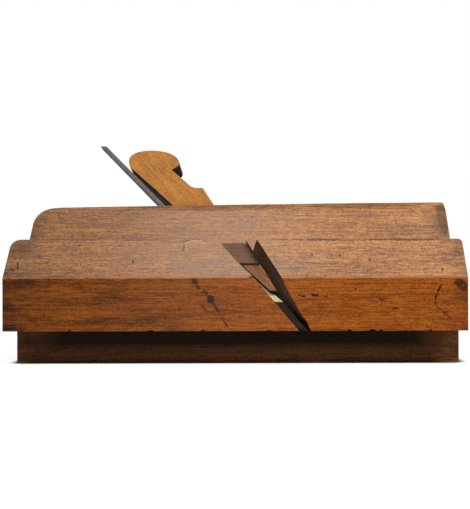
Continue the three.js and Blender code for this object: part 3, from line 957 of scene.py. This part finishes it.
@dataclass(frozen=True)
class ForgedIronFinish:
    """Forged iron with a laid steel face, browned by age.

    Hammer scale leaves it dark and softly mottled. The near edge of the blade above its knee is
    ground bright, with a painted highlight there and on the front face beside it, and the tang has
    been handled to a dull grey, with a painted reflection of the pale floor on its turned faces.
    Lengths are in millimetres.
    """

    name: str = "forged iron, filed and browned"
    bright: str = "#b3a68a"
    dull: str = "#8d8883"
    scale: str = "#443b36"
    rust: str = "#57402f"
    metallic: float = 0.8
    relief: float = 0.03
    outward: Fade = Fade(0.75, 0.95)
    blade_soft: float = 0.2
    blade_edge: Fade = Fade(3.8, 4.8, 0.75, 0.0)
    tang_up: Fade = Fade(90, 100)
    tang_outward: Fade = Fade(0, 1, 1.0, 0.4)
    blotch_size: float = 3.0
    blotch_relief: float = 2.0
    rust_cover: Fade = Fade(0.5, 0.7, 0.0, 0.7)
    rust_on_clean: Fade = Fade(0, 1, 1.0, 0.3)
    grind_size: tuple[float, float, float] = (0.5, 0.5, 4)
    grind_tone: Fade = Fade(0.35, 0.65, 0.45, 1.0)
    grind_roughness: Fade = Fade(0.3, 0.7, 0.42, 0.62)

    def worn_and_lit(self, sheet: MaterialSheet) -> tuple[bpy.types.Node, bpy.types.Node]:
        """Where the iron shows polished metal, with a painted highlight and a painted reflection in the same
        places.

        Args:
            sheet: The material's sheet.

        Returns:
            Nodes that give how bright the blade's near edge is, and how dull the tang.
        """
        up = sheet.upright["Z"]
        outward = sheet.add("ShaderNodeMapRange", self.outward.of(sheet.cosine(LEAN.outward)))
        # The front face beside the near edge is painted bright too, a painted highlight where it lies in
        # shade
        near = sheet.add("ShaderNodeMapRange", self.blade_edge.of(sheet.depth))
        near = sheet.add("ShaderNodeMath", {0: near, 1: outward}, operation="MAXIMUM")
        on_blade = sheet.faded(*between(up, LEAN.knee_height, LEAN.blade_top, self.blade_soft))
        bright = sheet.add("ShaderNodeMath", {0: near, 1: on_blade}, operation="MULTIPLY")
        # The tang's grey is painted stronger on faces turned from the near side, as a reflection of the pale
        # floor
        return bright, sheet.faded((self.tang_up, up), (self.tang_outward, outward))

    def material(self) -> bpy.types.Material:
        """The finish on the iron.

        Returns:
            The material.
        """
        sheet = MaterialSheet(self.name)
        blotches = {"Vector": sheet.place, "Scale": 1 / self.blotch_size, "Detail": 5.0}
        blotches = sheet.add("ShaderNodeTexNoise", blotches)
        # Grinding marks run up and down the blade. Real ones are too fine to show, so these are coarser
        ground = sheet.add(
            "ShaderNodeMapping",
            {"Vector": sheet.place, "Scale": tuple(1 / size for size in self.grind_size)},
            vector_type="POINT",
        )
        ground = sheet.add("ShaderNodeTexNoise", {"Vector": ground, "Scale": 1.0, "Detail": 3.0})
        bright, dull = self.worn_and_lit(sheet)
        # Rust keeps off the polished metal and the painted highlight and reflection
        clean_and_lit = sheet.add("ShaderNodeMath", {0: bright, 1: dull}, operation="MAXIMUM")
        rusted = sheet.faded((self.rust_cover, blotches), (self.rust_on_clean, clean_and_lit))
        colour = sheet.coated(self.scale, (dull, self.dull), (bright, self.bright), (rusted, self.rust))
        streak = sheet.add("ShaderNodeMapRange", self.grind_tone.of(ground))
        colour = sheet.add(
            "ShaderNodeMix",
            {"Factor": 1.0, "A": colour, "B": streak},
            data_type="RGBA",
            blend_type="MULTIPLY",
        )
        rough = sheet.add("ShaderNodeMapRange", self.grind_roughness.of(ground))
        height = {0: blotches, 1: self.blotch_relief, 2: ground}
        height = sheet.add("ShaderNodeMath", height, operation="MULTIPLY_ADD")
        bump = sheet.add("ShaderNodeBump", {"Height": height, "Strength": 1.0, "Distance": self.relief * MM})
        surface = sheet.add(
            "ShaderNodeBsdfPrincipled",
            {"Base Color": colour, "Roughness": rough, "Metallic": self.metallic, "Normal": bump},
        )
        sheet.add("ShaderNodeOutputMaterial", {"Surface": surface})
        return sheet.material


# ------------------------------------------------------------------------------ nicks


@dataclass(frozen=True)
class Arris:
    """A run of an arris that has been nicked, in world millimetres.

    The balls that cut the nicks stand `bite` outside the arris, so a larger one cuts less.
    """

    start: tuple[float, float, float]
    end: tuple[float, float, float]
    outward: tuple[float, float, float]
    spacing: float
    seed: int
    bite: float = 0.3


@dataclass(frozen=True)
class NickedArris:
    """A node tree that bites small irregular nicks out of a mesh along an arris.

    Points are strewn along the arris, each carries a stretched rough ball held a little way
    outside it, and the balls are cut away from the mesh. Lengths are in millimetres, `lumps` in
    a millimetre and turns in radians, and `least` and `most` are how a ball is stretched.
    """

    name: str = "nicked arris"
    ball_radius: float = 1.0
    ball_steps: int = 3
    least: tuple[float, float, float] = (0.8, 0.6, 0.6)
    most: tuple[float, float, float] = (2.6, 1.0, 1.0)
    slide: tuple[float, float, float] = (8, 0.2, 0.2)
    turn: tuple[float, float, float] = (0.5, 0.3, 0.3)
    lumps: float = 0.9
    lump_height: float = 0.3
    inputs: tuple[tuple[str, str], ...] = (
        ("Mesh", "NodeSocketGeometry"),
        ("Start", "NodeSocketVector"),
        ("End", "NodeSocketVector"),
        ("Offset", "NodeSocketVector"),
        ("Spacing", "NodeSocketFloat"),
        ("Seed", "NodeSocketInt"),
        ("Ball Radius", "NodeSocketFloat"),
        ("Least Stretch", "NodeSocketVector"),
        ("Most Stretch", "NodeSocketVector"),
        ("Material", "NodeSocketMaterial"),
    )

    def rough_ball(self, sheet: Sheet, radius: NodeInput) -> bpy.types.Node:
        """A lumpy ball.

        Args:
            sheet: The node tree's sheet.
            radius: The ball's radius in metres.

        Returns:
            The node that gives its mesh.
        """
        ball = sheet.add("GeometryNodeMeshIcoSphere", {"Radius": radius, "Subdivisions": self.ball_steps})
        position = sheet.add("GeometryNodeInputPosition")
        lumps = {"Vector": position, "Scale": self.lumps / MM, "Detail": 1.0}
        lumps = sheet.add("ShaderNodeTexNoise", lumps)
        height = self.lump_height * MM
        lumps = sheet.add("ShaderNodeMapRange", Fade(0, 1, -height, height).of(lumps))
        normal = sheet.add("GeometryNodeInputNormal")
        lumps = sheet.add("ShaderNodeVectorMath", {0: normal, "Scale": lumps}, operation="SCALE")
        return sheet.add("GeometryNodeSetPosition", {"Geometry": ball, "Offset": lumps})

    def tree(self) -> bpy.types.NodeTree:
        """Builds the node tree.

        Returns:
            A geometry node group with named inputs.
        """
        tree = bpy.data.node_groups.new(self.name, "GeometryNodeTree")
        sheet = Sheet(tree)
        for name, kind in self.inputs:
            tree.interface.new_socket(name, in_out="INPUT", socket_type=kind)
        tree.interface.new_socket("Mesh", in_out="OUTPUT", socket_type="NodeSocketGeometry")
        given = sheet.add("NodeGroupInput").outputs
        line = sheet.add("GeometryNodeCurvePrimitiveLine", {"Start": given["Start"], "End": given["End"]})
        points = {"Curve": line, "Length": given["Spacing"]}
        points = sheet.add("GeometryNodeCurveToPoints", points, mode="LENGTH")
        furthest = Vector(self.slide) * MM
        slide, stretch, turn = (
            sheet.add(
                "FunctionNodeRandomValue",
                {"Min": low, "Max": high, "Seed": given["Seed"]},
                data_type="FLOAT_VECTOR",
            )
            for low, high in (
                (-furthest, furthest),
                (given["Least Stretch"], given["Most Stretch"]),
                (-Vector(self.turn), Vector(self.turn)),
            )
        )
        shift = sheet.add("ShaderNodeVectorMath", {0: slide, 1: given["Offset"]}, operation="ADD")
        points = sheet.add("GeometryNodeSetPosition", {"Geometry": points, "Offset": shift})
        ball = self.rough_ball(sheet, given["Ball Radius"])
        balls = {"Points": points, "Instance": ball, "Rotation": turn, "Scale": stretch}
        balls = sheet.add("GeometryNodeInstanceOnPoints", balls)
        balls = sheet.add("GeometryNodeRealizeInstances", {"Geometry": balls})
        cut = sheet.add(
            "GeometryNodeMeshBoolean",
            {"Mesh 1": given["Mesh"], "Mesh 2": balls},
            operation="DIFFERENCE",
            solver="EXACT",
        )
        whole = sheet.add("GeometryNodeRealizeInstances", {"Geometry": cut})
        dressed = sheet.add("GeometryNodeSetMaterial", {"Geometry": whole, "Material": given["Material"]})
        sheet.add("NodeGroupOutput", {"Mesh": dressed})
        return tree

    def bite(self, piece: bpy.types.Object, arrises: Sequence[Arris], finish: bpy.types.Material) -> None:
        """Puts one modifier on the piece for each arris.

        Args:
            piece: The object to nick.
            arrises: Where.
            finish: The material of the cut faces.
        """
        tree = self.tree()
        sockets = {item.name: item.identifier for item in tree.interface.items_tree if item.in_out == "INPUT"}
        for arris in arrises:
            nicks = piece.modifiers.new(self.name, "NODES")
            nicks.node_group = tree
            values = {
                "Start": Vector(arris.start) * MM,
                "End": Vector(arris.end) * MM,
                "Offset": Vector(arris.outward).normalized() * arris.bite * MM,
                "Spacing": arris.spacing * MM,
                "Seed": arris.seed,
                "Ball Radius": self.ball_radius * MM,
                "Least Stretch": self.least,
                "Most Stretch": self.most,
                "Material": finish,
            }
            for name, value in values.items():
                nicks[sockets[name]] = value


# ------------------------------------------------------------------------------ pieces


def cut_across(work: bmesh.types.BMesh, place: Vector, normal: Vector) -> None:
    """Cuts a mesh's faces and edges along a plane, and keeps both sides.

    Args:
        work: The mesh.
        place: A point of the plane.
        normal: The plane's normal.
    """
    bmesh.ops.bisect_plane(
        work,
        geom=work.verts[:] + work.edges[:] + work.faces[:],
        dist=CUT_SNAP,
        plane_co=place,
        plane_no=normal,
    )


@dataclass
class Piece(ABC):
    """A finished piece that stands for one CAD node, with its arrises eased.

    Lengths are in millimetres and angles in degrees. Edges that turn by less than `corner` are
    left as they are, and the surface is smooth across those that turn by less than `smooth`.
    """

    node: str
    body: str
    slot: str
    arris: float
    segments: int = 3
    corner: float = 14.0
    smooth: float = 24.0
    merged: float = 0.06
    speck: float = 0.01
    level: float = 0.4

    def blank(self) -> bmesh.types.BMesh:
        """The CAD node's solid as one closed mesh of flat faces.

        Returns:
            The mesh, in world metres.
        """
        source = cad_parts[self.node]
        work = bmesh.new()
        work.from_mesh(source.data)
        work.transform(source.matrix_world)
        bmesh.ops.remove_doubles(work, verts=work.verts, dist=self.merged * MM)
        bmesh.ops.dissolve_degenerate(work, edges=work.edges, dist=self.speck * MM)
        level = math.radians(self.level)
        bmesh.ops.dissolve_limit(work, angle_limit=level, verts=work.verts, edges=work.edges)
        return work

    def width(self, middle: Vector, direction: Vector) -> float:
        """How far an edge is eased, from its middle in the upright frame and its direction."""
        return self.arris

    def ease(self, work: bmesh.types.BMesh) -> bpy.types.Object:
        """Rounds the convex edges.

        Args:
            work: The mesh, which this uses up.

        Returns:
            The object, with its bevel applied.
        """
        layer = work.edges.layers.float.new("bevel_weight_edge")
        widths = {}
        for edge in work.edges:
            if len(edge.link_faces) != 2 or edge.calc_face_angle_signed(0) < math.radians(self.corner):
                continue
            middle = LEAN.to_upright((edge.verts[0].co + edge.verts[1].co) / 2)
            direction = (edge.verts[1].co - edge.verts[0].co).normalized()
            widths[edge] = self.width(middle, direction)
        widest = max(widths.values())
        for edge, value in widths.items():
            edge[layer] = value / widest
        mesh = bpy.data.meshes.new(self.node + "_piece")
        work.to_mesh(mesh)
        work.free()
        piece = bpy.data.objects.new(self.node + "_piece", mesh)
        bpy.context.scene.collection.objects.link(piece)
        bevel = piece.modifiers.new("eased arrises", "BEVEL")
        bevel.limit_method = "WEIGHT"
        bevel.offset_type = "OFFSET"
        bevel.width = widest * MM
        bevel.segments = self.segments
        bevel.use_clamp_overlap = True
        bevel.miter_outer = "MITER_ARC"
        return self.applied(piece)

    def applied(self, piece: bpy.types.Object) -> bpy.types.Object:
        """Turns what the modifiers make into the piece's own plain mesh.

        Args:
            piece: The object with live modifiers.

        Returns:
            The same object, without modifiers.
        """
        graph = bpy.context.evaluated_depsgraph_get()
        made = bpy.data.meshes.new_from_object(piece.evaluated_get(graph), depsgraph=graph)
        piece.modifiers.clear()
        piece.data = made
        return piece

    def settle(self, piece: bpy.types.Object, finish: bpy.types.Material) -> None:
        """Dresses the piece and makes it ride in place of its CAD node.

        Args:
            piece: The finished object.
            finish: Its material.
        """
        piece.data.shade_smooth()
        piece.data.set_sharp_from_angle(angle=math.radians(self.smooth))
        flat = piece.modifiers.new("flat faces stay flat", "WEIGHTED_NORMAL")
        flat.keep_sharp = True
        flat.weight = 100
        self.applied(piece)
        piece.data.materials.clear()
        piece.data.materials.append(finish)
        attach(piece, self.body)
        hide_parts(self.node)
        LOG.info("%s: %d faces", piece.name, len(piece.data.polygons))

    @abstractmethod
    def finish(self) -> bpy.types.Material:
        """The piece's finish."""

    def build(self) -> None:
        """Builds and dresses the piece."""
        self.settle(self.ease(self.blank()), self.finish())


@dataclass
class Stock(Piece):
    """The beech stock: leaning slab, plumb facet, fence, grip and throat.

    `arris` is how far its long arrises are eased.
    """

    node: str = "stock"
    body: str = "stock"
    slot: str = "beech_stock"
    arris: float = 0.7
    end_arris: float = 0.9
    foot_arris: float = 1.1
    throat_arris: float = 0.2
    station: float = 4.0
    wander: float = 14.0
    swing: float = 0.5

    def blank(self) -> bmesh.types.BMesh:
        """The solid, cut across at even stations so that an arris can vary along its length.

        Returns:
            The mesh, in world metres.
        """
        work = super().blank()
        low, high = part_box(self.node)
        length = high[0] - low[0]
        count = round(length / (self.station * MM))
        for index in range(1, count):
            cut_across(work, Vector((low[0] + length * index / count, 0, 0)), Vector((1, 0, 0)))
        return work

    def width(self, middle: Vector, direction: Vector) -> float:
        """How far an edge of the stock is eased, which wanders along it.

        Args:
            middle: The edge's middle in the upright frame, as (x, depth, height).
            direction: Its direction in the world.

        Returns:
            The width in millimetres.
        """
        wear = 1 + self.swing * noise.noise(middle / self.wander)
        wear += self.swing / 2 * noise.noise(middle / (self.wander / 4))
        at_end = abs(abs(middle.x) - LEAN.half_length) < 0.5
        lengthwise = abs(direction.x) >= 0.999
        at_foot = middle.z < LEAN.facet_bottom and middle.y > LEAN.rabbet_depth
        if at_end:
            return self.end_arris * wear
        if not lengthwise:
            return self.throat_arris
        return (self.foot_arris if at_foot else self.arris) * wear

    def arrises(self) -> list[Arris]:
        """The nicked runs of the facet's two arrises and the shoulder's upper one.

        Returns:
            The runs, from the heel to the toe on each arris.
        """
        face = LEAN.facet_y
        low, high = LEAN.facet_bottom, LEAN.facet_top
        _, y, z = LEAN.matrix() @ Vector((0, -LEAN.origin_depth, LEAN.shoulder_height)) / MM
        return [
            Arris((-112, face, low), (16, face, low), (0, -1, -1), 26.0, 3),
            Arris((44, face, low), (116, face, low), (0, -1, -1), 8.0, 8),
            Arris((-112, face, high), (4, face, high), (0, -1, 0.3), 29.0, 5, 0.55),
            Arris((34, face, high), (116, face, high), (0, -1, 0.3), 23.0, 9, 0.55),
            Arris((14, y, z), (114, y, z), (0, LEAN.outward.y, 1), 12.0, 11),
        ]

    def finish(self) -> bpy.types.Material:
        """Old handled beech."""
        return HandledBeechFinish("beech, oiled, waxed and handled", "#d2751c", "#8e410e").material()

    def build(self) -> None:
        """Builds, nicks and dresses the stock."""
        piece = self.ease(self.blank())
        finish = self.finish()
        NickedArris().bite(piece, self.arrises(), finish)
        self.settle(self.applied(piece), finish)


@dataclass
class Iron(Piece):
    """The forged iron: blade, knee and tang."""

    node: str = "iron"
    body: str = "iron"
    slot: str = "forged_iron"
    arris: float = 0.15

    def finish(self) -> bpy.types.Material:
        """Forged iron."""
        return ForgedIronFinish().material()


@dataclass
class Wedge(Piece):
    """The beech wedge. `arris` is how far its rounded finial is eased, from `finial_height` up."""

    node: str = "wedge"
    body: str = "wedge"
    slot: str = "beech_wedge"
    arris: float = 0.9
    corner: float = 34.0
    shank_arris: float = 0.3
    finial_height: float = 106.0
    bed_angle: float = 52.0

    def width(self, middle: Vector, direction: Vector) -> float:
        """How far an edge is eased: more on the finial than on the shank."""
        return self.arris if middle.z > self.finial_height else self.shank_arris

    def finish(self) -> bpy.types.Material:
        """Oiled beech whose grain runs up the bed, with a shorter figure than the stock's.

        Returns:
            The material.
        """
        finish = BeechFinish(
            "beech, oiled, wedge",
            "#d79331",
            "#a05911",
            roughness=0.72,
            turn=math.radians(self.bed_angle),
            layers=(
                GrainLayer(16, 4, 3, 1.5),
                GrainLayer(9, 0.8, 3, 0.9, 0.5),
                GrainLayer(3.4, 0.7, 2, 1.15, 0.8),
                GrainLayer(0.9, 0.6, 1, 1.2, 0.5),
            ),
            # Browner arrises and flanks: dirt, and painted shade on the flanks
            rim=0.8,
        )
        return finish.material()


@dataclass
class Packing(Piece):
    """The beech packing under the cheek, its grain turned by `slope`."""

    node: str = "iron_packing"
    body: str = "stock"
    slot: str = "beech_packing"
    arris: float = 0.1
    lap_depth: float = 6.75
    lap_reach: float = 1.45
    slope: float = 46.9

    def blank(self) -> bmesh.types.BMesh:
        """The solid, its near face drawn down over the edge of the blade, in front of it.

        Returns:
            The mesh, in world metres.
        """
        work = super().blank()
        turn = LEAN.matrix()
        place = turn @ Vector((0, self.lap_depth - LEAN.origin_depth, 0))
        cut_across(work, place, turn.to_3x3() @ Vector((0, 1, 0)))
        # The near face's points stand in rows, whose end towards the bed is drawn out
        near = [vert for vert in work.verts if LEAN.to_upright(vert.co).y < self.lap_depth - 1]
        for level in sorted({round(LEAN.to_upright(vert.co).z) for vert in near}):
            row = [vert for vert in near if round(LEAN.to_upright(vert.co).z) == level]
            min(row, key=lambda vert: vert.co.x).co.x -= self.lap_reach * MM
        return work

    def finish(self) -> bpy.types.Material:
        """Dry beech whose grain follows the packing."""
        turn = math.radians(self.slope)
        return BeechFinish("beech, packing", "#a8713a", "#5a3418", roughness=0.75, turn=turn).material()


@dataclass
class Boxing(Piece):
    """One of the two boxwood slips let into the sole."""

    body: str = "stock"
    slot: str = "boxwood"
    arris: float = 0.25

    def finish(self) -> bpy.types.Material:
        """Boxwood, closer and yellower than beech, with hardly a ray to be seen, painted darker as shade for
        where it shows in the mouth.
        """
        name = "boxwood, planed and waxed"
        return BeechFinish(name, "#a87d45", "#6b4a26", roughness=0.45, ray_weight=0.08).material()


# ------------------------------------------------------------------------------ studio


@dataclass
class Studio:
    """The pale floor, the backdrop, the soft light and the camera. Sizes are in metres."""

    floor_size: float = 8.0
    backdrop_distance: float = 2.0
    aim: tuple[float, float, float] = (0, -0.01, 0.06)
    light_distance: float = 1.2
    light_elevation: float = math.radians(61)
    light_side: float = 0.13
    light_size: tuple[float, float] = (1.4, 0.5)
    light_power: float = 15.0
    fill_place: tuple[float, float, float] = (-0.3, 1.1, 0.45)
    fill_power: float = 3.0
    sky_fill: float = 0.06
    sky_gloss: float = 0.25
    lens: float = 45.12
    sensor: float = 36.0
    camera_place: tuple[float, float, float] = (0.0247, -0.36043, 0.050)
    camera_shift: tuple[float, float] = (-0.0943, 0.0305)
    camera_roll: float = math.radians(0.13)
    clip_start: float = 0.01
    floor_bounce: float = 0.6
    floor_paper: float = 0.2
    floor_gloss: float = 0.1
    floor_glow: float = 0.88
    glow_away: tuple[float, float] = (0.3, 1.2)
    contact_reach: float = 0.008
    contact_look: tuple[float, float, float] = (0, 0.9, 0.436)
    contact_open: tuple[float, float] = (0.72, 0.84)
    contact_samples: int = 16

    def background_rays(self, sheet: Sheet) -> bpy.types.Node:
        """1 for the rays that show the background straight on or through something clear.

        Args:
            sheet: The sheet that the node joins.

        Returns:
            The node that gives it.
        """
        rays = sheet.add("ShaderNodeLightPath").outputs
        seen = {0: rays["Is Camera Ray"], 1: rays["Is Transmission Ray"]}
        return sheet.add("ShaderNodeMath", seen, operation="MAXIMUM")

    def floor_light(self, sheet: MaterialSheet) -> bpy.types.Node:
        """The strength of the floor's own glow where it is seen.

        Args:
            sheet: The floor material's sheet.

        Returns:
            The node that gives it.
        """
        # The glow dies away along the foot of the fence, where no light gets in
        backward = sheet.add("ShaderNodeCombineXYZ", dict(zip("XYZ", self.contact_look)))
        open_sky = sheet.add(
            "ShaderNodeAmbientOcclusion",
            {"Distance": self.contact_reach, "Normal": backward},
            samples=self.contact_samples,
        )
        # Far from the lamp the paper's own glow makes up for the light, so that it meets the backdrop
        away = sheet.add("ShaderNodeVectorMath", {0: sheet.object_place}, operation="LENGTH")
        return sheet.faded(
            (Fade(*self.contact_open, 0.0, self.floor_glow), open_sky.outputs["AO"]),
            (Fade(*self.glow_away, 1.0, 1 / self.floor_glow), away.outputs["Value"]),
        )

    def floor_material(self) -> bpy.types.Material:
        """A matt white paper floor that keeps the shadow and throws little light back.

        Returns:
            The material.
        """
        sheet = MaterialSheet("matt paper floor")
        seen = self.background_rays(sheet)
        thrown, shown = ((level, level, level, 1) for level in (self.floor_bounce, self.floor_paper))
        paper = sheet.add("ShaderNodeBsdfDiffuse", {"Color": sheet.coated(thrown, (seen, shown))})
        glow = sheet.add("ShaderNodeMath", {0: seen, 1: self.floor_light(sheet)}, operation="MULTIPLY")
        glossy = {0: sheet.add("ShaderNodeLightPath").outputs["Is Glossy Ray"], 1: self.floor_gloss}
        glossy = sheet.add("ShaderNodeMath", glossy, operation="MULTIPLY")
        glow = sheet.add("ShaderNodeMath", {0: glow, 1: glossy}, operation="MAXIMUM")
        glow = sheet.add("ShaderNodeEmission", {"Color": (1, 1, 1, 1), "Strength": glow})
        both = sheet.add("ShaderNodeAddShader", {0: paper, 1: glow})
        sheet.add("ShaderNodeOutputMaterial", {"Surface": both})
        return sheet.material

    def floor(self) -> None:
        """Lays the floor from well in front of the camera to the backdrop's distance behind."""
        half, back = self.floor_size / 2, self.backdrop_distance
        mesh = bpy.data.meshes.new("floor")
        outline = ((-half, -half, 0), (half, -half, 0), (half, back, 0), (-half, back, 0))
        mesh.from_pydata(outline, [], [tuple(range(len(outline)))])
        mesh.materials.append(self.floor_material())
        floor = bpy.data.objects.new("floor", mesh)
        bpy.context.scene.collection.objects.link(floor)

    def world(self) -> None:
        """A white background for the camera and a dim even fill for the object."""
        world = bpy.data.worlds.new("studio")
        world.use_nodes = True
        bpy.context.scene.world = world
        sheet = Sheet(world.node_tree)
        glossy = sheet.add("ShaderNodeLightPath").outputs["Is Glossy Ray"]
        level = {0: glossy, 1: self.sky_gloss, 2: self.sky_fill}
        level = sheet.add("ShaderNodeMath", level, operation="MULTIPLY_ADD")
        level = sheet.add("ShaderNodeMath", {0: self.background_rays(sheet), 1: level}, operation="MAXIMUM")
        background = sheet.add("ShaderNodeBackground", {"Color": (1, 1, 1, 1), "Strength": level})
        sheet.add("ShaderNodeOutputWorld", {"Surface": background})

    def lamp(self, name: str, power: float, place: Vector) -> None:
        """One long soft box that faces the object.

        Args:
            name: The lamp's name.
            power: Its power in watts.
            place: Where it hangs.
        """
        data = bpy.data.lights.new(name, "AREA")
        data.shape = "RECTANGLE"
        data.size, data.size_y = self.light_size
        data.energy = power
        lamp = bpy.data.objects.new(name, data)
        lamp.location = place
        lamp.rotation_euler = (Vector(self.aim) - place).to_track_quat("-Z", "Y").to_euler()
        bpy.context.scene.collection.objects.link(lamp)

    def lamps(self) -> None:
        """The key above and in front, a little towards the toe, and a weak low fill behind."""
        out = self.light_distance * math.cos(self.light_elevation)
        up = self.light_distance * math.sin(self.light_elevation)
        key_place = Vector(self.aim) + Vector((self.light_side, -out, up))
        self.lamp("key soft box", self.light_power, key_place)
        self.lamp("fill soft box", self.fill_power, Vector(self.fill_place))

    def camera(self) -> None:
        """A level camera in front of the stock's right-hand side."""
        data = bpy.data.cameras.new("camera")
        data.sensor_width = self.sensor
        data.lens = self.lens
        data.shift_x, data.shift_y = self.camera_shift
        data.clip_start = self.clip_start
        camera = bpy.data.objects.new("camera", data)
        camera.location = self.camera_place
        camera.rotation_euler = (math.pi / 2, self.camera_roll, 0)
        bpy.context.scene.collection.objects.link(camera)
        bpy.context.scene.camera = camera

    def build(self) -> None:
        """Builds the set."""
        self.floor()
        self.world()
        self.lamps()
        self.camera()
        bpy.context.scene.view_settings.view_transform = "Standard"
        LOG.info("studio set")


def main() -> None:
    """Builds the studio and every piece."""
    logging.basicConfig(level=logging.INFO, format="%(name)s: %(message)s")
    Studio().build()
    for piece in (Stock(), Iron(), Wedge(), Packing(), Boxing("boxing_heel"), Boxing("boxing_toe")):
        piece.build()


if __name__ == "__main__":
    main()
